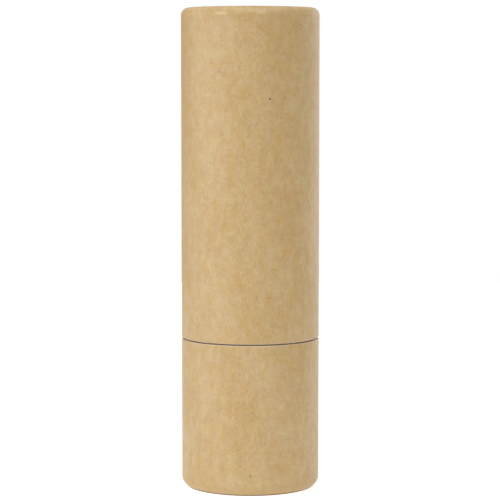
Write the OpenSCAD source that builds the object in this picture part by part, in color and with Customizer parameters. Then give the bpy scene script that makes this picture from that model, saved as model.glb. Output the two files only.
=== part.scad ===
// Twist-up lip balm stick in a kraft paper tube. A paper cap pulls off a paper base,
// and a plastic swivel mechanism between them screws the balm up and down.
// Millimetres, +Z up, origin at the centre of the rim that it stands on.
// The cap is on and the balm is screwed down.

/* [Overall] */
// Outer diameter of the paper tube
outer_d = 20; // [19.6:0.1:26]
// Height of the closed stick
total_h = 69.5; // [58:0.5:90]
// Height of the paper base
base_h = 21.5; // [20:0.1:26]
// Open seam between the edge of the cap and the edge of the base
seam_gap = 0.3; // [0.2:0.05:1]
// Height of the neck above the paper base
neck_h = 22.5; // [19:0.1:27]

/* [Paper] */
// Thickness of the kraft wrap round each tube
wrap_t = 0.2; // [0.18:0.01:0.3]
// Thickness of the wound board under the wrap
board_t = 1; // [0.6:0.05:1.2]
// Radius of the cap's rolled end, on its outer and its inner side
cap_roll_r = 1.1; // [0.6:0.05:1.35]
// Width of the cap's rolled end, seen along the stick
cap_roll_w = 2.8; // [2.75:0.05:3.6]
// Radius of the base's rolled end, on its outer and its inner side
foot_roll_r = 1.35; // [0.6:0.05:1.35]
// Width of the base's rolled end, seen along the stick
foot_roll_w = 3.3; // [2.75:0.05:3.6]
// Depth of the end discs below the rolled ends
disc_depth = 1.4; // [1.4:0.05:2.2]
// Thickness of the end discs
disc_t = 0.8; // [0.4:0.05:1.2]
// Rounding of the cut edge of the wrap
edge_r = 0.15; // [0.05:0.01:0.17]
// Chamfer that the cutting knife leaves on the edge of the board
edge_chamfer = 0.08; // [0.02:0.01:0.2]
// Width of the butt seam where the wrap closes at the back
wrap_seam_w = 0.12; // [0.05:0.01:0.4]

/* [Balm] */
// Diameter of the balm
balm_d = 12.1; // [10:0.1:12.2]
// Depth of the tip of the balm below the top of the neck
tip_depth = 1; // [0.5:0.1:4]
// Radius of the domed tip
tip_r = 9; // [7.5:0.1:14]
// Slope of the slanted face of the tip
slant = 42; // [20:1:55]
// Distance from the axis to the ridge where the slanted face meets the dome
ridge_x = 2.4; // [0:0.1:4]

/* [Carrier] */
// Height of the cup that carries the balm
carrier_h = 11.5; // [7:0.1:14]
// Wall of the cup
carrier_t = 0.42; // [0.35:0.01:0.5]
// Thickness of the cup's floor
floor_t = 0.9; // [0.5:0.05:1.2]
// Diameter of the two lugs
lug_d = 1.6; // [1.2:0.05:2]
// Height of the lug axis above the bottom of the cup
lug_up = 1.1; // [1:0.05:1.6]
// Number of ribs that grip the balm
grip_ribs = 6; // [3:1:10]
// Depth and width of those ribs
grip_rib = 0.4; // [0.2:0.05:0.6]
// Diameter of the hole in the floor that anchors the balm
anchor_d = 3; // [1:0.1:5]

/* [Mechanism] */
// Wall of the slotted inner body
body_t = 0.55; // [0.4:0.01:0.6]
// Wall of the spiral sleeve
spiral_t = 0.45; // [0.35:0.01:0.5]
// Wall of the neck shell
shell_t = 0.33; // [0.25:0.01:0.4]
// Turns of the neck that raise the balm all the way
twist_turns = 1.5; // [1:0.25:2.5]
// Height of the carrier's rim above the neck when the balm is right up
rim_proud = 0.6; // [0:0.1:2]
// Length of the inner body's foot, which is fixed in the base
foot_l = 7.6; // [5:0.1:8.5]
// Wall of the foot
foot_t = 1.1; // [0.8:0.05:1.3]
// Number of splines on the foot
splines = 16; // [8:1:24]
// Thickness of the flange between the foot and the sleeve
flange_t = 0.6; // [0.4:0.05:1]
// Height of the shoulder inside the inner body above the flange
shoulder_up = 0.9; // [0.5:0.1:2]
// Radius of the drawn edge round the top of the neck shell
shell_edge_r = 0.3; // [0.1:0.05:0.35]
// Bead that keeps the spiral sleeve on: how far it stands out
bead_out = 0.2; // [0.1:0.01:0.3]

/* [Plastic liners] */
// Wall of the cap liner
liner_t = 0.45; // [0.35:0.01:0.5]
// Thickness of the closed top of the cap liner
liner_top_t = 0.8; // [0.5:0.05:1.5]
// Number of ribs in the cap liner that grip the neck
neck_ribs = 8; // [3:1:16]
// Width of a neck rib
neck_rib_w = 0.9; // [0.4:0.05:1.6]
// Distance from the end of a neck rib to the mouth, and to the top of the neck
rib_gap = 1.5; // [0.5:0.1:4]
// Wall of the base insert
insert_t = 0.45; // [0.35:0.01:0.5]
// Thickness of the floor of the base insert
insert_floor_t = 1; // [0.6:0.05:1.6]
// Number of webs round the insert's socket
insert_webs = 8; // [3:1:16]
// Height of the top of the insert above the edge of the paper base
insert_proud = 0.1; // [0:0.01:0.12]

/* [Mould details] */
// Radius of the liners' outer corners
corner_r = 0.6; // [0.2:0.05:1]
// Radius inside the corners of the liners and of the cup
fillet_r = 0.3; // [0.1:0.05:0.4]
// Lead-in chamfer at the mouth of each bore and at the end of each rib
lead_in = 0.15; // [0.05:0.01:0.18]
// Radius of the dimple that the gate leaves in the middle of a moulded floor
gate_r = 1; // [0.5:0.1:2]
// Depth of that dimple
gate_depth = 0.25; // [0.1:0.05:0.4]
// Broken edge of moulded and drawn pieces
edge_break = 0.08; // [0.02:0.01:0.15]

/* [Clearances] */
// Glue line between a liner and its paper tube
glue = 0.05; // [0.02:0.01:0.1]
// Radial running clearance of the moving tubes
run = 0.07; // [0.03:0.01:0.1]
// Radial clearance of a press fit, drawn free
press = 0.03; // [0.01:0.01:0.06]
// Endwise clearance between turning faces
end_play = 0.08; // [0.04:0.01:0.15]
// Clearance on each side of a lug in its slot and track
lug_play = 0.12; // [0.08:0.01:0.2]

/* [Hidden] */
$fn = 96;

kraft = "tan";
board = "burlywood";
liner_white = "oldlace";

// Paper tubes
outer_r = outer_d / 2;
wall_t = wrap_t + board_t;
paper_bore_r = outer_r - wall_t;
cap_edge_z = base_h + seam_gap;
cap_h = total_h - cap_edge_z;
cap_roll = [cap_roll_r, cap_roll_w];
foot_roll = [foot_roll_r, foot_roll_w];
roll_steps = 10;
round_steps = 4;

// Radii of the mechanism, from the balm outwards
balm_r = balm_d / 2;
cup_bore_r = balm_r + press;
cup_r = cup_bore_r + carrier_t;
body_bore_r = cup_r + run;
body_r = body_bore_r + body_t;
spiral_bore_r = body_r + run;
spiral_r = spiral_bore_r + spiral_t;
shell_bore_r = spiral_r + press;
neck_r = shell_bore_r + shell_t;
lug_tip_r = spiral_r - run;

// Heights, from the foot upwards
insert_z = disc_depth + disc_t + glue;
insert_top_z = base_h + insert_proud;
foot_z = insert_z + insert_floor_t + glue;
flange_z = foot_z + foot_l;
sleeve_z = flange_z + flange_t + end_play;
shoulder_z = flange_z + flange_t + shoulder_up;
neck_top_z = base_h + neck_h;
carrier_z = shoulder_z + 2 * end_play;
cup_floor_z = carrier_z + lug_up + lug_d / 2 - floor_t;
cup_bottom_z = cup_floor_z + floor_t;
lug_z = carrier_z + lug_up;
tip_z = neck_top_z - tip_depth;

// Travel of the carrier, and rise of the spiral track in one turn
travel = neck_top_z + rim_proud - carrier_z - carrier_h;
lead = travel / twist_turns;

// The spiral sleeve stops under a bead on the inner body, and the shell's lip covers both
lip_t = shell_t;
bead_h = 0.35;
bead_z = neck_top_z - lip_t - end_play - bead_h;
spiral_top_z = bead_z - end_play;

// The foot sits in the insert's socket
foot_r = body_r - 0.25;
spline_r = foot_r + 0.15;
socket_r = spline_r + press;
socket_t = 0.6;
socket_top_z = flange_z - glue;
liner_z = insert_top_z + end_play;
liner_top_z = total_h - disc_depth - disc_t - glue;
liner_r = paper_bore_r - glue;

// Cutters reach past the surface they cut by this much
past = 1;

// Points of an arc about a centre, from one angle to the other
function arc(centre, radius, from, to, steps = roll_steps) = [
    for (i = [0 : steps])
        let (a = from + (to - from) * i / steps)
        centre + radius * [cos(a), sin(a)]
];

// The way over a rolled end at a depth below the paper's surface, from outside to inside.
// A roll is [radius, width].
function over_roll(h, roll, depth) =
    let (
        r = roll[0],
        inner_r = outer_r - roll[1]
    )
    concat(
        arc([outer_r - r, h - r], r - depth, 0, 90),
        arc([inner_r + r, h - r], r - depth, 90, 180),
        [[inner_r + depth, h - disc_depth]]
    );

function backwards(points) = [for (i = [len(points) - 1 : -1 : 0]) points[i]];

// The kraft wrap of a tube that is cut at z = 0 and rolled in at z = h. The sheet
// closes with a butt seam at the back.
module wrap(h, roll) {
    difference() {
        rotate_extrude()
            polygon(concat(
                arc([outer_r - edge_r, edge_r], edge_r, -90, 0, 4),
                over_roll(h, roll, 0),
                backwards(over_roll(h, roll, wrap_t)),
                [[outer_r - wrap_t, 0]]
            ));
        translate([-wrap_seam_w / 2, 0, -past])
            cube([wrap_seam_w, outer_r + past, h + 2 * past]);
    }
}

// The wound board inside that wrap, rolled in over the end disc
module board_tube(h, roll) {
    rotate_extrude()
        polygon(concat(
            [
                [outer_r - wrap_t - edge_chamfer, 0],
                [outer_r - wrap_t, edge_chamfer]
            ],
            over_roll(h, roll, wrap_t),
            [
                [paper_bore_r, h - disc_depth],
                [paper_bore_r, 0]
            ]
        ));
}

// Punched disc, whose upper edge the punch draws in a little
module end_disc() {
    disc_r = paper_bore_r - press;
    rotate_extrude()
        polygon([
            [0, 0],
            [disc_r, 0],
            [disc_r, disc_t - edge_chamfer],
            [disc_r - edge_chamfer, disc_t],
            [0, disc_t]
        ]);
}

module tube(r, bore, h) {
    difference() {
        cylinder(r = r, h = h);
        translate([0, 0, -past])
            cylinder(r = bore, h = h + 2 * past);
    }
}

// Ribs evenly round the axis, each with the outline that is given as [radius, height]
module ribs(count, width, outline) {
    far = [for (point = outline) norm(point)];
    intersection() {
        rotate_extrude()
            polygon(outline);
        for (i = [0 : count - 1])
            rotate(i * 360 / count)
                translate([0, -width / 2, -past])
                    cube([max(far) + past, width, max(far) + 2 * past]);
    }
}

// A moulded cup that stands on its floor at z = 0: round outer corner, fillet inside, a
// lead-in at the mouth, and the dimple that the gate leaves below
module cup(r, wall, floor_h, h) {
    bore = r - wall;
    rotate_extrude()
        polygon(concat(
            [
                [0, gate_depth],
                [gate_r, gate_depth],
                [gate_r, 0]
            ],
            arc([r - corner_r, corner_r], corner_r, -90, 0, round_steps),
            [
                [r, h],
                [bore + lead_in, h],
                [bore, h - 2 * lead_in]
            ],
            arc([bore - fillet_r, floor_h + fillet_r], fillet_r, 0, -90, round_steps),
            [[0, floor_h]]
        ));
}

// Turns its children to the base's way up: cut edge at the top, rolled end on the table
module as_base() {
    translate([0, 0, base_h])
        mirror([0, 0, 1])
            children();
}

module cap_wrap() {
    color(kraft)
        translate([0, 0, cap_edge_z])
            wrap(cap_h, cap_roll);
}

module cap_tube() {
    color(board)
        translate([0, 0, cap_edge_z])
            board_tube(cap_h, cap_roll);
}

module cap_end_disc() {
    color(kraft)
        translate([0, 0, total_h - disc_depth - disc_t])
            end_disc();
}

// Moulded liner glued into the cap: a cup turned over, so its heights count down from its
// closed top. Its mouth lands on the base insert and holds the paper edges apart, and its
// ribs grip the neck.
module cap_liner() {
    rib_r = neck_r + run;
    root_r = liner_r - liner_t / 2;
    mouth = liner_top_z - liner_z;
    rib_end = mouth - rib_gap;
    rib_start = liner_top_z - neck_top_z + rib_gap;
    color(liner_white)
        translate([0, 0, liner_top_z])
            mirror([0, 0, 1])
                union() {
                    cup(liner_r, liner_t, liner_top_t, mouth);
                    ribs(neck_ribs, neck_rib_w, [
                        [root_r, rib_start],
                        [root_r, rib_end],
                        [rib_r + lead_in, rib_end],
                        [rib_r, rib_end - 4 * lead_in],
                        [rib_r, rib_start + lead_in],
                        [rib_r + lead_in, rib_start]
                    ]);
                }
}

module base_wrap() {
    color(kraft)
        as_base()
            wrap(base_h, foot_roll);
}

module base_tube() {
    color(board)
        as_base()
            board_tube(base_h, foot_roll);
}

module base_end_disc() {
    color(kraft)
        as_base()
            translate([0, 0, base_h - disc_depth - disc_t])
                end_disc();
}

// Moulded insert glued into the base, with a webbed socket for the inner body's foot
module base_insert() {
    socket_h = socket_top_z - insert_z;
    ledge = insert_floor_t / 2;
    inner_r = socket_r + socket_t / 2;
    root_r = liner_r - insert_t / 2;
    color(liner_white)
        translate([0, 0, insert_z])
            union() {
                cup(liner_r, insert_t, insert_floor_t, insert_top_z - insert_z);
                rotate_extrude()
                    polygon([
                        [socket_r, ledge],
                        [socket_r + socket_t, ledge],
                        [socket_r + socket_t, socket_h],
                        [socket_r + lead_in, socket_h],
                        [socket_r, socket_h - 2 * lead_in]
                    ]);
                ribs(insert_webs, socket_t, [
                    [inner_r, ledge],
                    [root_r, ledge],
                    [root_r, socket_h + ledge],
                    [inner_r, socket_h - ledge]
                ]);
            }
}

// Inner body: splined foot, flange, and a tube with two upright slots for the lugs.
// The bead at the top keeps the spiral sleeve on.
module inner_body() {
    flange_r = neck_r - run;
    top_z = bead_z + bead_h;
    color("white")
        difference() {
            union() {
                rotate_extrude()
                    polygon([
                        [0, foot_z],
                        [foot_r - lead_in, foot_z],
                        [foot_r, foot_z + 2 * lead_in],
                        [foot_r, flange_z],
                        [flange_r - edge_break, flange_z],
                        [flange_r, flange_z + edge_break],
                        [flange_r, flange_z + flange_t],
                        [body_r, flange_z + flange_t],
                        [body_r, bead_z],
                        [body_r + bead_out, bead_z],
                        [body_r + bead_out, bead_z + bead_h / 3],
                        [body_r, top_z],
                        [0, top_z]
                    ]);
                ribs(splines, foot_r / splines, [
                    [foot_r - lead_in, foot_z + 3 * lead_in],
                    [spline_r, foot_z + 6 * lead_in],
                    [spline_r, flange_z + flange_t / 2],
                    [foot_r - lead_in, flange_z + flange_t / 2]
                ]);
            }
            translate([0, 0, foot_z - past])
                cylinder(r = foot_r - foot_t, h = total_h);
            translate([0, 0, shoulder_z])
                cylinder(r = body_bore_r, h = total_h);
            lug_slot();
        }
}

// Upright slot right through the tube, as wide as a lug and its play, with round ends
module lug_slot() {
    slot_w = lug_d + 2 * lug_play;
    translate([-outer_r, 0, lug_z])
        union() {
            translate([0, -slot_w / 2, 0])
                cube([outer_d, slot_w, travel]);
            for (height = [0, travel])
                translate([0, 0, height])
                    rotate([0, 90, 0])
                        cylinder(d = slot_w, h = outer_d);
        }
}

// One turn of the spiral track is one lead high. The cutter is a twisted wedge that
// is as high, along the axis, as a lug and its play.
module track_cutter() {
    track_w = lug_d + 2 * lug_play;
    half_angle = 180 * track_w / lead;
    track_h = travel + track_w;
    start_angle = -180 * track_w / lead;
    far_r = (spiral_r + past) / cos(half_angle);
    near_r = spiral_bore_r - past;
    translate([0, 0, lug_z - track_w / 2])
        rotate(start_angle)
            linear_extrude(
                height = track_h, twist = -360 * track_h / lead,
                slices = ceil(36 * track_h / lead), $fn = 4
            )
                polygon([
                    near_r * [cos(half_angle), -sin(half_angle)],
                    far_r * [cos(half_angle), -sin(half_angle)],
                    far_r * [cos(half_angle), sin(half_angle)],
                    near_r * [cos(half_angle), sin(half_angle)]
                ]);
}

// Spiral sleeve: two right-handed tracks cut through its wall, half a turn apart
module spiral_sleeve() {
    color("gainsboro")
        difference() {
            translate([0, 0, sleeve_z])
                rotate(90)
                    tube(spiral_r, spiral_bore_r, spiral_top_z - sleeve_z);
            for (side = [0, 180])
                rotate(side)
                    track_cutter();
        }
}

// Neck shell: drawn metal, pressed over the spiral sleeve and turned in at the top
module neck_shell() {
    color("silver")
        rotate_extrude()
            polygon(concat(
                [
                    [shell_bore_r, sleeve_z],
                    [neck_r - edge_break, sleeve_z],
                    [neck_r, sleeve_z + edge_break]
                ],
                arc(
                    [neck_r - shell_edge_r, neck_top_z - shell_edge_r],
                    shell_edge_r, 0, 90, round_steps
                ),
                [
                    [body_bore_r + run, neck_top_z],
                    [body_bore_r + run, neck_top_z - lip_t],
                    [shell_bore_r, neck_top_z - lip_t]
                ]
            ));
}

// Ribs inside the cup, also cut from the balm with a little to spare
module balm_grips(spare = 0) {
    near = cup_bore_r - grip_rib - spare;
    far = cup_bore_r + carrier_t / 2;
    top = carrier_z + 0.7 * carrier_h + spare;
    ribs(grip_ribs, grip_rib + 2 * spare, [
        [near, cup_bottom_z - spare],
        [far, cup_bottom_z - spare],
        [far, top + grip_rib],
        [near, top - grip_rib]
    ]);
}

// Carrier: cup with a floor, grip ribs inside and two lugs that stand through the
// inner body's slots into the spiral tracks
module carrier() {
    rim_z = carrier_z + carrier_h;
    color("ivory")
        difference() {
            union() {
                rotate_extrude()
                    polygon([
                        [cup_bore_r, carrier_z],
                        [cup_r - edge_break, carrier_z],
                        [cup_r, carrier_z + edge_break],
                        [cup_r, rim_z - edge_break],
                        [cup_r - edge_break, rim_z],
                        [cup_bore_r + lead_in, rim_z],
                        [cup_bore_r, rim_z - 2 * lead_in]
                    ]);
                translate([0, 0, cup_floor_z])
                    cylinder(r = cup_bore_r + carrier_t / 2, h = floor_t);
                balm_grips();
                for (side = [0, 180])
                    rotate(side)
                        lug();
            }
            translate([0, 0, cup_floor_z - past])
                cylinder(d = anchor_d, h = floor_t + 2 * past);
        }
}

// Lug on the cup's wall, with a chamfer round its end
module lug() {
    root_r = cup_bore_r + carrier_t / 2;
    translate([root_r, 0, lug_z])
        rotate([0, 90, 0])
            rotate_extrude()
                polygon([
                    [0, 0],
                    [lug_d / 2, 0],
                    [lug_d / 2, lug_tip_r - root_r - lead_in],
                    [lug_d / 2 - lead_in, lug_tip_r - root_r],
                    [0, lug_tip_r - root_r]
                ]);
}

// Balm cast into the cup: domed tip with a slanted face, and a stub through the floor
module balm() {
    stick_h = tip_z - cup_bottom_z;
    color("cornsilk")
        difference() {
            union() {
                translate([0, 0, cup_bottom_z])
                    intersection() {
                        cylinder(r = balm_r, h = stick_h);
                        translate([0, 0, stick_h - tip_r])
                            union() {
                                sphere(r = tip_r);
                                translate([0, 0, -stick_h])
                                    cylinder(r = balm_r + past, h = stick_h);
                            }
                    }
                translate([0, 0, cup_floor_z])
                    cylinder(d = anchor_d - 2 * press, h = floor_t + past);
            }
            balm_grips(press);
            translate([ridge_x, 0, tip_z - tip_r + sqrt(tip_r * tip_r - ridge_x * ridge_x)])
                rotate([0, -slant, 0])
                    translate([-2 * balm_d, -balm_d, 0])
                        cube([2 * balm_d, 2 * balm_d, balm_d]);
        }
}

cap_wrap();
cap_tube();
cap_end_disc();
cap_liner();
base_wrap();
base_tube();
base_end_disc();
base_insert();
inner_body();
spiral_sleeve();
neck_shell();
carrier();
balm();
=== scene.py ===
# Lip balm stick in a kraft paper tube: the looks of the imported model.
# Metres, +Z up, in the model's own frame, with the cap on and the balm screwed down.
import math

import bmesh
import bpy
from mathutils import Matrix, Vector, noise


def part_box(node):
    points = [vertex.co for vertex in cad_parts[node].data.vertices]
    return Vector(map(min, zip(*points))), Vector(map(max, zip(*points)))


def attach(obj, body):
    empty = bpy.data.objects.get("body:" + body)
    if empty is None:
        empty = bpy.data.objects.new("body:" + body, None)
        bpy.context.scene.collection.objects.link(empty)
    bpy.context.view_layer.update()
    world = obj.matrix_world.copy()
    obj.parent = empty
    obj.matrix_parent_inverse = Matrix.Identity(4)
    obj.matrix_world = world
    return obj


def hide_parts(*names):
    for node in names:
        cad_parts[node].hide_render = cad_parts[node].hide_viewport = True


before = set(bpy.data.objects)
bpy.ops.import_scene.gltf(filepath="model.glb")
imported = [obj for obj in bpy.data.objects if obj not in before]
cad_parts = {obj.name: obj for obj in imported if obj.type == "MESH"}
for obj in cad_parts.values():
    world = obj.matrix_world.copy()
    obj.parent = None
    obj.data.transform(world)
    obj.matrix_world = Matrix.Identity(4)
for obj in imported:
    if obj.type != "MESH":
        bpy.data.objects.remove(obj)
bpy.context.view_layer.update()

# Board tubes. Each is brown board wound in four plies and glued, then cut square with a
# knife. Their cut edges are all that shows, in the open seam and when the cap is off.
MM = 0.001
PLIES = 4
BOARD = (0.70, 0.56, 0.40, 1)
BOARD_GLUE = (0.42, 0.31, 0.19, 1)
BOARD_PALE = (0.80, 0.69, 0.54, 1)
BOARD_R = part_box("cap_tube")[1].x
BOARD_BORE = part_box("cap_end_disc")[1].x


class Socket:
    """An output in a material's nodes. A sum on it adds a Math node, and add() any other node."""

    def __init__(self, tree, output=None):
        self.tree = tree
        self.output = output

    def add(self, kind, settings, inputs, output=0):
        """Makes a node, sets it, then gives its inputs their values or links."""
        node = self.tree.nodes.new("ShaderNode" + kind)
        for name, value in settings.items():
            setattr(node, name, value)
        for name, value in inputs.items():
            if isinstance(value, Socket):
                self.tree.links.new(value.output, node.inputs[name])
            else:
                node.inputs[name].default_value = value
        return Socket(self.tree, node.outputs[output])

    def math(self, operation, *values):
        return self.add("Math", {"operation": operation}, dict(enumerate(values)))

    def __add__(self, other):
        return self.math("ADD", self, other)

    def __sub__(self, other):
        return self.math("SUBTRACT", self, other)

    def __rsub__(self, other):
        return self.math("SUBTRACT", other, self)

    def __mul__(self, other):
        return self.math("MULTIPLY", self, other)

    def __abs__(self):
        return self.math("ABSOLUTE", self)

    __radd__ = __add__
    __rmul__ = __mul__

    def fraction(self):
        """What is left of a number over the whole one below it."""
        return self.math("FRACT", self)

    def fade(self, start, end):
        """Goes smoothly from 0 at start to 1 at end."""
        ends = {"Value": self, "From Min": start, "From Max": end}
        return self.add("MapRange", {"interpolation_type": "SMOOTHSTEP"}, ends)

    def vector(self, operation, other):
        return self.add("VectorMath", {"operation": operation}, {0: self, 1: other})

    def times(self, *factors):
        """A vector, each axis scaled by its own factor."""
        return self.vector("MULTIPLY", factors)

    def length(self, x, y, z):
        """How long a vector is, when its axes are scaled by x, y and z."""
        scaled = self.times(x, y, z)
        return self.add("VectorMath", {"operation": "LENGTH"}, {0: scaled}, "Value")

    def axis(self, name):
        return self.add("SeparateXYZ", {}, {"Vector": self}, name)

    def noise(self, scale, detail=2, warp=0):
        """Cloudy noise from 0 to 1, with so many clouds to a millimetre."""
        inputs = {"Vector": self, "Scale": scale, "Detail": detail, "Distortion": warp}
        return self.add("TexNoise", {}, inputs)

    def mix(self, low, high, share):
        """A colour between two, through a Mix node, whose colour sockets go by number."""
        return self.add("Mix", {"data_type": "RGBA"}, {0: share, 6: low, 7: high}, 2)

    def blend(self, colour, share):
        """This colour, with a share of another laid over it."""
        return self.mix(self, colour, share)

    def between(self, low, high):
        """A colour that goes from low to high as this value goes from 0 to 1."""
        return self.mix(low, high, self)


class Finish:
    """A material: even values on its shader's own sockets, and patterns linked to the rest."""

    def __init__(self, name, even):
        self.material = bpy.data.materials.new(name)
        self.material.use_nodes = True
        self.tree = self.material.node_tree
        self.shader = self.tree.nodes["Principled BSDF"]
        for socket, value in even.items():
            self.shader.inputs[socket].default_value = value
        place = Socket(self.tree).add("TexCoord", {}, {}, "Object")
        self.place = place.times(1 / MM, 1 / MM, 1 / MM)

    def feed(self, socket, value):
        self.tree.links.new(value.output, self.shader.inputs[socket])

    def bump(self, height, depth):
        """Raises the surface by height, from 0 to 1, times a depth in millimetres."""
        inputs = {"Height": height, "Distance": depth * MM, "Strength": 1}
        self.feed("Normal", height.add("Bump", {}, inputs))

    def cover(self, *nodes):
        """Puts the finish on CAD nodes."""
        for name in nodes:
            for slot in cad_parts[name].material_slots:
                slot.material = self.material


def wound_board(bore, outside):
    """Board whose plies are rings round the tube, between two radii in millimetres."""
    finish = Finish("wound_board", {"Roughness": 0.9, "Specular IOR Level": 0.25})
    place = finish.place
    drift = place.noise(0.9, 3) * 0.12
    ply = (place.length(1, 1, 0) + drift - bore) * (PLIES / (outside - bore))
    line = abs(ply.fraction() - 0.5).fade(0.34, 0.5)
    fuzz = place.noise(7, 4)
    grain = place.times(3, 3, 0.6).noise(2.4, 3)
    colour = (grain.fade(0.4, 0.75) * 0.8).between(BOARD, BOARD_PALE)
    finish.feed("Base Color", colour.blend(BOARD_GLUE, line * fuzz.fade(0.3, 0.7) * 0.5))
    finish.bump(fuzz * 0.6 + (1 - line) * 0.4, depth=0.05)
    return finish


wound_board(BOARD_BORE / MM, BOARD_R / MM).cover("cap_tube", "base_tube")

# Kraft wraps. Each is one sheet of brown kraft, full of curled fibres and a few specks. It is
# glued round its board tube with a butt seam at the back, cut with the board at the open
# seam, and rolled in over the end in small pleats.
scene = bpy.context.scene
cap_low, cap_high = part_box("cap_wrap")
WRAP_R = cap_high.x
SHEET_T = WRAP_R - BOARD_R
# The radius of each rolled end and how far in it reaches
CAP_ROLL = (1.1 * MM, 2.8 * MM)
FOOT_ROLL = (1.35 * MM, 3.3 * MM)
# The rounding of the cut edge, and how far the sheet of the base stands over its board there
EDGE_R = 0.18 * MM
BASE_PROUD = 0.15 * MM
BUTT_GAP = 0.12 * MM
PLEATS = 72
PLEAT_DEPTH = 0.05 * MM
PLEAT_JITTER = 0.8
PLEAT_DRIFT = 4
TURN_STEPS = 360
WALL_STEPS = 40
ROLL_STEPS = 10
EDGE_STEPS = 4
NEAR = 0.01 * MM
# Millimetres along the paper from the cut edge of the cap: where the sheet of the base
# starts, where a faint ridge runs round the cap with a painted highlight along it, and where
# the foot bends in, darkened under it as painted shade
BASE_CUT = 83
RIDGE = 46.7
FOOT = 103.5
KRAFT = (0.463, 0.318, 0.138, 1)
# Pale cut fibres, made paler still as painted light on the rounded edge in the shaded seam
KRAFT_CUT_AND_HIGHLIGHT = (0.62, 0.49, 0.36, 1)
KRAFT_PALE = (0.546, 0.42, 0.239, 1)
KRAFT_DEEP = (0.375, 0.207, 0.038, 1)
KRAFT_DARK = (0.292, 0.174, 0.048, 1)
KRAFT_YELLOW = (0.473, 0.318, 0.081, 1)
KRAFT_GREY = (0.429, 0.289, 0.167, 1)
KRAFT_OLIVE = (0.424, 0.323, 0.124, 1)
KRAFT_PINK = (0.492, 0.289, 0.129, 1)
KRAFT_ORANGE = (0.468, 0.262, 0.036, 1)
KRAFT_SPECK = (0.06, 0.035, 0.015, 1)
# Each mark's place round the tube and along the paper, width, length, colour and strength. The
# two pale ones on the ridge are no marks but painted highlights.
MARKS_AND_HIGHLIGHTS = (
    (2.8, 34.7, 0.4, 0.4, KRAFT_SPECK, 1),
    (7.9, 45.1, 0.3, 0.35, KRAFT_SPECK, 0.8),
    (-4.5, 38.5, 0.35, 0.35, KRAFT_SPECK, 0.4),
    (0, 101.6, 0.5, 0.7, KRAFT_DEEP, 1),
    (-3.1, 16.4, 0.6, 0.7, KRAFT_ORANGE, 0.8),
    (0.7, 96.3, 0.25, 2, KRAFT_ORANGE, 1),
    # Painted highlights: two pale ovals where the ridge would catch the light
    (-4.2, RIDGE, 2.4, 0.6, KRAFT_PALE, 0.65),
    (1.65, RIDGE, 2, 0.6, KRAFT_PALE, 0.65),
)


def clouds(sheet, across, along, detail):
    """Cloudy noise, with so many clouds to a millimetre across the paper and along it."""
    return sheet.times(across, along, 0).noise(1, detail)


def fibres(sheet, cell, size, lean, bend, share, shift):
    """Soft mask of short fibres along the paper, one in a share of its cells.

    A cell and a fibre have a width and a length in millimetres. Lean is the most that a fibre
    turns, in radians, bend is how much it curves, and shift gives each kind its own cells.
    """
    cell_w, cell_l = cell
    width, length = size
    spread = sheet.times(1 / cell_w, 1 / cell_l, 0).vector("ADD", (shift, shift, 0))
    cells = {"Vector": spread, "Scale": 1}
    flat = {"voronoi_dimensions": "2D"}
    centre = sheet.add("TexVoronoi", flat, cells, "Position")
    chance = sheet.add("TexVoronoi", flat, cells, "Color")
    away = spread.vector("SUBTRACT", centre).times(cell_w, cell_l, 0)
    turn = {"Vector": away, "Angle": (chance.axis("X") - 0.5) * (2 * lean)}
    away = away.add("VectorRotate", {"rotation_type": "Z_AXIS"}, turn)
    along = away.axis("Y")
    across = away.axis("X") + along * along * ((chance.axis("Y") - 0.5) * (2 * bend))
    side = abs(across).fade(width, width * 0.25)
    ends = abs(along).fade(length / 2, length / 5)
    shown = chance.axis("Z").fade(1 - share, 1 - share * 0.5)
    return side * ends * shown


def mark(sheet, x, y, width, length):
    """Soft mask of one oval, a mark or a painted highlight, at its place on the paper."""
    away = sheet.vector("SUBTRACT", (x, y, 0))
    return away.length(2 / width, 2 / length, 0).fade(1, 0.4)


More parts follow.
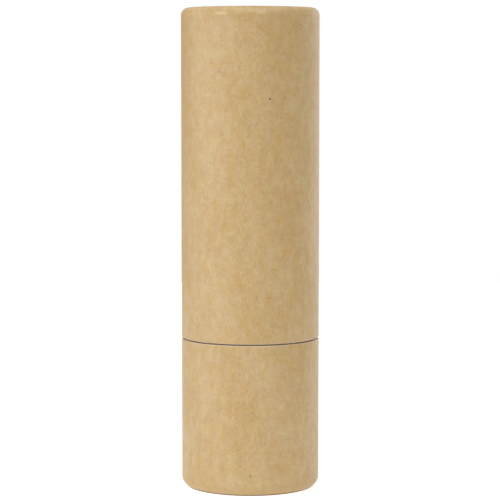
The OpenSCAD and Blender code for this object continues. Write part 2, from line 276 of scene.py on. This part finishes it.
def kraft(name, sheet_of):
    """Kraft paper, whose fibres lie along the sheet that it was cut from.

    sheet_of(finish) gives the place on that sheet, in millimetres across and along it, and as
    Z how much of the cut edge is on a point, 1 on the edge, where the paper is paler and
    lightened further as painted light.
    """
    finish = Finish(name, {"Specular IOR Level": 0.7})
    sheet = sheet_of(finish)
    cloud = clouds(sheet, 0.2, 0.09, 3)
    mottle = clouds(sheet, 0.9, 0.55, 5)
    grain = clouds(sheet, 4, 2.2, 3)
    yellowing = clouds(sheet, 0.9, 0.5, 5).fade(0.33, 0.67)
    reddening = clouds(sheet, 0.6, 0.35, 5).fade(0.33, 0.67)
    tone = (cloud * 0.37 + mottle * 0.48 + grain * 0.15).fade(0.25, 0.75)
    pale = fibres(sheet, (0.8, 1.3), (0.15, 1), lean=0.35, bend=0.3, share=0.5, shift=3.3)
    deep = fibres(sheet, (0.7, 1.2), (0.11, 0.9), lean=0.5, bend=0.4, share=0.5, shift=11.7)
    curled = fibres(sheet, (1.6, 1.6), (0.1, 1.5), lean=3.1, bend=0.9, share=0.5, shift=27.1)
    yellow = fibres(sheet, (1.2, 1.9), (0.24, 1.3), lean=0.3, bend=0.3, share=0.3, shift=41.9)
    orange = fibres(sheet, (1.3, 1.9), (0.19, 0.9), lean=0.4, bend=0.3, share=0.4, shift=63.5)
    smudge = fibres(sheet, (1.7, 3.3), (0.38, 2.6), lean=0.25, bend=0.1, share=0.4, shift=83.2)
    faint = fibres(sheet, (1.9, 1.9), (0.13, 0.3), lean=1.5, bend=0, share=0.2, shift=57.3)
    speck = fibres(sheet, (3.7, 3.7), (0.17, 0.36), lean=1.5, bend=0, share=0.03, shift=71.8)
    # The ridge is a faint bump, and the same mask lays a painted highlight along it
    ridge_and_highlight = abs(sheet.axis("Y") - RIDGE).fade(0.25, 0.03)
    # Painted shade on the underside of the rolled foot
    foot_shade = sheet.axis("Y").fade(FOOT - 1, FOOT + 1.5)
    # Paler cut fibres on the rounded cut edge, lightened further as painted light against the
    # shade in the seam
    cut = sheet.axis("Z").fade(0.3, 0.9)
    # Specks and flecks, and two pale ovals on the ridge that are painted highlights
    marks_and_highlights = [
        (colour, mark(sheet, x, y, width, length) * strength)
        for x, y, width, length, colour, strength in MARKS_AND_HIGHLIGHTS
    ]
    paper = yellowing.between(KRAFT_YELLOW, KRAFT_GREY)
    layers = [
        (KRAFT, 0.3),
        (reddening.between(KRAFT_OLIVE, KRAFT_PINK), 0.4),
        (tone.between(KRAFT_DEEP, KRAFT_PALE), 0.5),
        (KRAFT_YELLOW, yellow * 0.4),
        (KRAFT_ORANGE, smudge * 0.28),
        (KRAFT_ORANGE, orange * cloud.fade(0.6, 0.4) * 0.8),
        (KRAFT_PALE, pale * 0.25),
        (KRAFT_DARK, deep * 0.22),
        (KRAFT_DEEP, curled * cloud.fade(0.65, 0.4) * 0.6),
        (KRAFT_DARK, grain.fade(0.55, 0.2) * 0.3),
        (KRAFT_SPECK, faint * 0.2),
        (KRAFT_SPECK, speck),
        # Painted highlight: a faint pale line along the ridge
        (KRAFT_PALE, ridge_and_highlight * 0.15),
        *marks_and_highlights,
        # Painted shade: the rolled foot darkens as it turns in under the stick
        (KRAFT_DEEP, foot_shade * 0.4),
        # Paler cut fibres plus painted light on the rounded cut edge
        (KRAFT_CUT_AND_HIGHLIGHT, cut),
    ]
    for colour, share in layers:
        paper = paper.blend(colour, share)
    finish.feed("Base Color", paper)
    finish.feed("Roughness", 0.44 + grain * 0.14)
    relief = grain * 0.5 + pale * 0.2 - curled * 0.15 + mottle * 0.5 + ridge_and_highlight * 0.5
    finish.bump(relief, depth=0.012)
    return finish


def wrap_sheet(finish):
    """The flat sheet that a wrap was cut from, as lay_out() and round_cut() write it."""
    return finish.place.add("Attribute", {"attribute_name": "sheet"}, {}, "Vector")


def rounded(bm, geom, radius, segments, affect):
    """Rounds corners or edges of a mesh."""
    bmesh.ops.bevel(
        bm, geom=geom, offset=radius, segments=segments, profile=0.5, affect=affect, material=-1
    )


def draw_section(bm, edge, end, disc, roll):
    """Section of a wrap, from its cut edge along the wall, over the end and in to the disc.

    Each point keeps how far along the paper it lies, in millimetres.
    """
    roll_r, roll_w = roll
    mouth_r = WRAP_R - roll_w
    corners = [(WRAP_R, edge), (WRAP_R, end), (mouth_r, end), (mouth_r, disc)]
    line = [bm.verts.new((0, radius, height)) for radius, height in corners]
    for ends in zip(line, line[1:]):
        bm.edges.new(ends)
    rounded(bm, line[1:3], roll_r, ROLL_STEPS, "VERTICES")
    wall = max(bm.edges, key=lambda e: e.calc_length())
    bmesh.ops.subdivide_edges(bm, edges=[wall], cuts=WALL_STEPS)
    path = bm.verts.layers.float.new("path")
    point = min(bm.verts, key=lambda v: abs(v.co.z - edge))
    passed = {point}
    while len(passed) < len(bm.verts):
        onward = next(e for e in point.link_edges if e.other_vert(point) not in passed)
        ahead = onward.other_vert(point)
        ahead[path] = point[path] + onward.calc_length() / MM
        passed.add(ahead)
        point = ahead


def wind(bm):
    """Takes the section round the stick, and leaves the butt seam open at the back."""
    half_gap = BUTT_GAP / 2 / WRAP_R
    bmesh.ops.rotate(bm, verts=bm.verts[:], matrix=Matrix.Rotation(half_gap, 3, "Z"))
    bmesh.ops.spin(
        bm, geom=bm.verts[:] + bm.edges[:], cent=(0, 0, 0), axis=(0, 0, 1), dvec=(0, 0, 0),
        angle=2 * math.pi - 2 * half_gap, steps=TURN_STEPS,
    )
    bmesh.ops.recalc_face_normals(bm, faces=bm.faces[:])
    bm.normal_update()


def turn_of(vert):
    """Angle of a point round the stick, 0 at the front and half a turn at the butt seam."""
    return math.atan2(vert.co.x, -vert.co.y)


def lay_out(bm, cut_from):
    """Writes each point's place on the flat sheet, in millimetres, as X and Y."""
    path = bm.verts.layers.float["path"]
    sheet = bm.verts.layers.float_vector.new("sheet")
    for v in bm.verts:
        v[sheet] = (turn_of(v) * WRAP_R / MM, v[path] + cut_from, 0)


def pleat(bm, roll, seed):
    """Gathers the rolled end in small uneven pleats, which deepen towards its mouth."""
    roll_r, roll_w = roll
    for v in bm.verts:
        turn = turn_of(v)
        gathered = max(0, (WRAP_R - roll_r - v.co.xy.length) / (roll_w - roll_r))
        around = (PLEAT_DRIFT * math.sin(turn), PLEAT_DRIFT * math.cos(turn), seed)
        drift = noise.noise(Vector(around)) * PLEAT_JITTER
        fold = 0.5 - 0.5 * math.cos(PLEATS * turn + 2 * math.pi * drift)
        v.co += v.normal * (-PLEAT_DEPTH * fold * gathered)


def round_cut(bm, edge):
    """Rounds the outer rim of the cut edge, and writes as the sheet's Z how near it each point
    lies, for its paler fibres and the painted light there.
    """
    sheet = bm.verts.layers.float_vector["sheet"]
    rim = {
        v for v in bm.verts
        if abs(v.co.z - edge) < NEAR and v.co.xy.length > WRAP_R - NEAR
    }
    rounded(bm, [e for e in bm.edges if rim.issuperset(e.verts)], EDGE_R, EDGE_STEPS, "EDGES")
    for v in bm.verts:
        cut_and_highlight_share = max(0, 1 - abs(v.co.z - edge) / EDGE_R)
        v[sheet] = (v[sheet].x, v[sheet].y, cut_and_highlight_share)


def made(name, bm, finish):
    """Makes an object of a mesh that is ready, and gives it its finish."""
    mesh = bpy.data.meshes.new(name)
    bm.to_mesh(mesh)
    bm.free()
    mesh.materials.append(finish.material)
    piece = bpy.data.objects.new(name, mesh)
    scene.collection.objects.link(piece)
    return piece


def kraft_wrap(name, node, body, edge, end, disc, roll, cut_from):
    """One wrap, from the height of its cut edge to the rolled end and in to the end disc."""
    bm = bmesh.new()
    draw_section(bm, edge, end, disc, roll)
    wind(bm)
    lay_out(bm, cut_from)
    pleat(bm, roll, cut_from)
    bmesh.ops.solidify(bm, geom=bm.faces[:], thickness=SHEET_T)
    round_cut(bm, edge)
    for face in bm.faces:
        face.smooth = True
    piece = made(name, bm, wrap_kraft)
    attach(piece, body)
    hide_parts(node)


wrap_kraft = kraft("kraft_wrap", wrap_sheet)
cap_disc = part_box("cap_end_disc")[1].z
base_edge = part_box("base_wrap")[1].z + BASE_PROUD
base_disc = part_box("base_end_disc")[0].z
kraft_wrap(
    "cap_kraft_wrap", "cap_wrap", "cap",
    edge=cap_low.z, end=cap_high.z, disc=cap_disc, roll=CAP_ROLL, cut_from=0,
)
kraft_wrap(
    "base_kraft_wrap", "base_wrap", "base",
    edge=base_edge, end=0, disc=base_disc, roll=FOOT_ROLL, cut_from=BASE_CUT,
)


# End discs. Plain kraft board, punched out and held under the rolled ends. Their fibres lie
# across the stick.
def disc_sheet(finish):
    """The place across a disc. Its own cut edge lies hidden, so its Z, for a pale cut edge and
    its painted light, is 0.
    """
    return finish.place.times(1, 1, 0)


kraft("kraft_disc", disc_sheet).cover("cap_end_disc", "base_end_disc")

# Moulded liners. Cups of natural polypropylene. Each is shot through a gate in the middle of
# its floor, then glued into the board tube of the cap or of the base.
LINER_NATURAL = (0.74, 0.70, 0.61, 1)
LINER_FLOW = (0.80, 0.77, 0.69, 1)


def moulded(name, colour, flow_colour, rough):
    """Plastic with faint flow marks and the dull skin of a spark-eroded mould."""
    finish = Finish(name, {"IOR": 1.49, "Subsurface Weight": 0.15, "Subsurface Scale": 0.001})
    flow = finish.place.times(1, 1, 0.3).noise(0.5, 2, warp=0.6)
    skin = finish.place.noise(9, 2)
    finish.feed("Base Color", flow.fade(0.35, 0.7).between(colour, flow_colour))
    finish.feed("Roughness", rough - 0.06 + skin * 0.12)
    finish.bump(skin, depth=0.004)
    return finish


moulded("liner_plastic", LINER_NATURAL, LINER_FLOW, rough=0.45).cover("cap_liner", "base_insert")

# Inner body and spiral sleeve. The slotted tube and the sleeve with its two tracks, moulded
# in harder and glossier plastics that slide well on each other.
BODY_WHITE = (0.80, 0.79, 0.76, 1)
BODY_FLOW = (0.86, 0.85, 0.82, 1)
SPIRAL_GREY = (0.66, 0.66, 0.65, 1)
SPIRAL_FLOW = (0.72, 0.72, 0.71, 1)
moulded("body_plastic", BODY_WHITE, BODY_FLOW, rough=0.32).cover("inner_body")
moulded("spiral_plastic", SPIRAL_GREY, SPIRAL_FLOW, rough=0.32).cover("spiral_sleeve")

# Neck shell. Aluminium drawn over the sleeve and turned in at the top, then anodised satin,
# with the faint rings that polishing leaves round it.
SHELL_BRIGHT = (0.56, 0.53, 0.48, 1)
SHELL_DULL = (0.43, 0.40, 0.36, 1)
RINGS_PER_MM = 9
shell = Finish("neck_metal", {"Metallic": 1})
ring = (shell.place.length(1, 1, 0) + shell.place.axis("Z")) * RINGS_PER_MM
rings = ring.add("TexNoise", {"noise_dimensions": "1D"}, {"W": ring, "Scale": 1, "Detail": 4})
handled = shell.place.noise(0.25, 3).fade(0.5, 0.8)
shell.feed("Base Color", (rings * 0.7).between(SHELL_BRIGHT, SHELL_DULL))
shell.feed("Roughness", 0.22 + rings * 0.16 + handled * 0.08)
shell.bump(rings, depth=0.003)
shell.cover("neck_shell")

# Carrier. A cup that grips the foot of the balm, moulded in a creamier plastic than the inner
# body. Its two lugs run in the slots of the body and in the tracks of the sleeve.
CARRIER_CREAM = (0.78, 0.76, 0.69, 1)
CARRIER_FLOW = (0.84, 0.82, 0.76, 1)
moulded("carrier_plastic", CARRIER_CREAM, CARRIER_FLOW, rough=0.4).cover("carrier")

# Balm. Beeswax and oils, cast as a stick with a slanted tip and anchored through the floor of
# the carrier. It is cream yellow and soft, with a faint bloom.
BALM_CREAM = (0.72, 0.57, 0.28, 1)
BALM_BLOOM = (0.78, 0.67, 0.43, 1)
balm = Finish("balm_wax", {
    "Subsurface Weight": 0.35, "Subsurface Radius": (1, 0.7, 0.35), "Subsurface Scale": 0.002,
})
bloom = balm.place.noise(0.6, 3)
pores = balm.place.noise(5, 3)
balm.feed("Base Color", (bloom.fade(0.35, 0.75) * 0.6).between(BALM_CREAM, BALM_BLOOM))
balm.feed("Roughness", 0.34 + bloom * 0.2)
balm.bump(bloom + pores * 0.3, depth=0.02)
balm.cover("balm")

# Table. A round pale sheet that glows as white as the sweep behind it, so that its edge
# doesn't show. Under the stick, out to just inside its wall, it is dim and brown: a painted
# contact shadow.
TABLE_R = 0.3
TABLE_SIDES = 96
TABLE_GREY = (0.35, 0.35, 0.35, 1)
TABLE_SHADE = (0.12, 0.07, 0.03, 1)
TABLE_GLOW = (1, 1, 1, 1)
# Millimetres from the axis at which the shade starts to give way to the glow, and ends
SHADE_EDGE = (8.9, 9.5)
top = Finish("table_top", {
    "Roughness": 0.9, "Base Color": TABLE_GREY, "Specular IOR Level": 0, "Emission Strength": 1,
})
lit = top.place.length(1, 1, 0).fade(*SHADE_EDGE)
top.feed("Emission Color", lit.between(TABLE_SHADE, TABLE_GLOW))
bm = bmesh.new()
bmesh.ops.create_circle(bm, cap_ends=True, segments=TABLE_SIDES, radius=TABLE_R)
made("table", bm, top)

# Lights. Three tall panels make one wide softbox on the left, and two stand behind on the
# right. One hangs high in front, one overhead, and one high behind on each side.
MIDDLE = Vector((0, 0, 0.035))
LIGHT_AWAY = 0.8
TALL = (0.35, 0.7)
SQUARE = (0.5, 0.5)
WIDE = (1, 0.5)
PANEL_RISE = 8


def softbox(name, turn, rise, size, power):
    """Light that faces the stick from an azimuth, 0 at the camera, and an elevation."""
    light = bpy.data.lights.new(name, "AREA")
    light.shape = "RECTANGLE"
    light.size, light.size_y = size
    light.energy = power
    lamp = bpy.data.objects.new(name, light)
    azimuth = math.radians(turn)
    elevation = math.radians(rise)
    side = Vector((math.sin(azimuth), -math.cos(azimuth), 0)) * math.cos(elevation)
    lamp.location = MIDDLE + (side + Vector((0, 0, math.sin(elevation)))) * LIGHT_AWAY
    lamp.rotation_euler = (MIDDLE - lamp.location).to_track_quat("-Z", "Y").to_euler()
    scene.collection.objects.link(lamp)


for turn, power in ((-95, 1.25), (-70, 1.55), (-45, 1.6)):
    softbox(f"left_panel_{-turn}", turn, PANEL_RISE, TALL, power)
for turn in (125, 150):
    softbox(f"right_panel_{turn}", turn, PANEL_RISE, TALL, 1.15)
softbox("front_overhead", 10, 50, SQUARE, 3.9)
softbox("overhead", 0, 85, WIDE, 3.4)
softbox("back_left", -135, 45, SQUARE, 1)
softbox("back_right", 135, 45, SQUARE, 0.4)

# Sweep. White paper all round, at full strength only to the camera. Reflections see it at a
# third of that, and on everything else it is a faint fill.
FILL = 0.02
MIRRORED = 0.3
world = bpy.data.worlds.new("studio")
scene.world = world
world.use_nodes = True
seen = Socket(world.node_tree).add("LightPath", {}, {}, "Is Camera Ray")
mirrored = seen.add("LightPath", {}, {}, "Is Glossy Ray")
sweep = seen * (1 - FILL) + mirrored * MIRRORED + FILL
background = world.node_tree.nodes["Background"]
background.inputs["Color"].default_value = (1, 1, 1, 1)
world.node_tree.links.new(sweep.output, background.inputs["Strength"])
scene.view_settings.view_transform = "Standard"

# Camera. It stands 0.3 m away behind a long lens, and looks down by the angle that the
# curves of the seam and of the foot give in the photo. The shift is for its framing.
CAMERA_PITCH = 4.76
camera = bpy.data.cameras.new("camera")
camera.lens = 151.7
camera.sensor_width = 36
camera.clip_start = 0.01
camera.shift_x = -0.0006
view = bpy.data.objects.new("camera", camera)
view.location = (0, -0.3057, 0.0599)
view.rotation_euler = (math.radians(90 - CAMERA_PITCH), 0, 0)
scene.collection.objects.link(view)
scene.camera = view
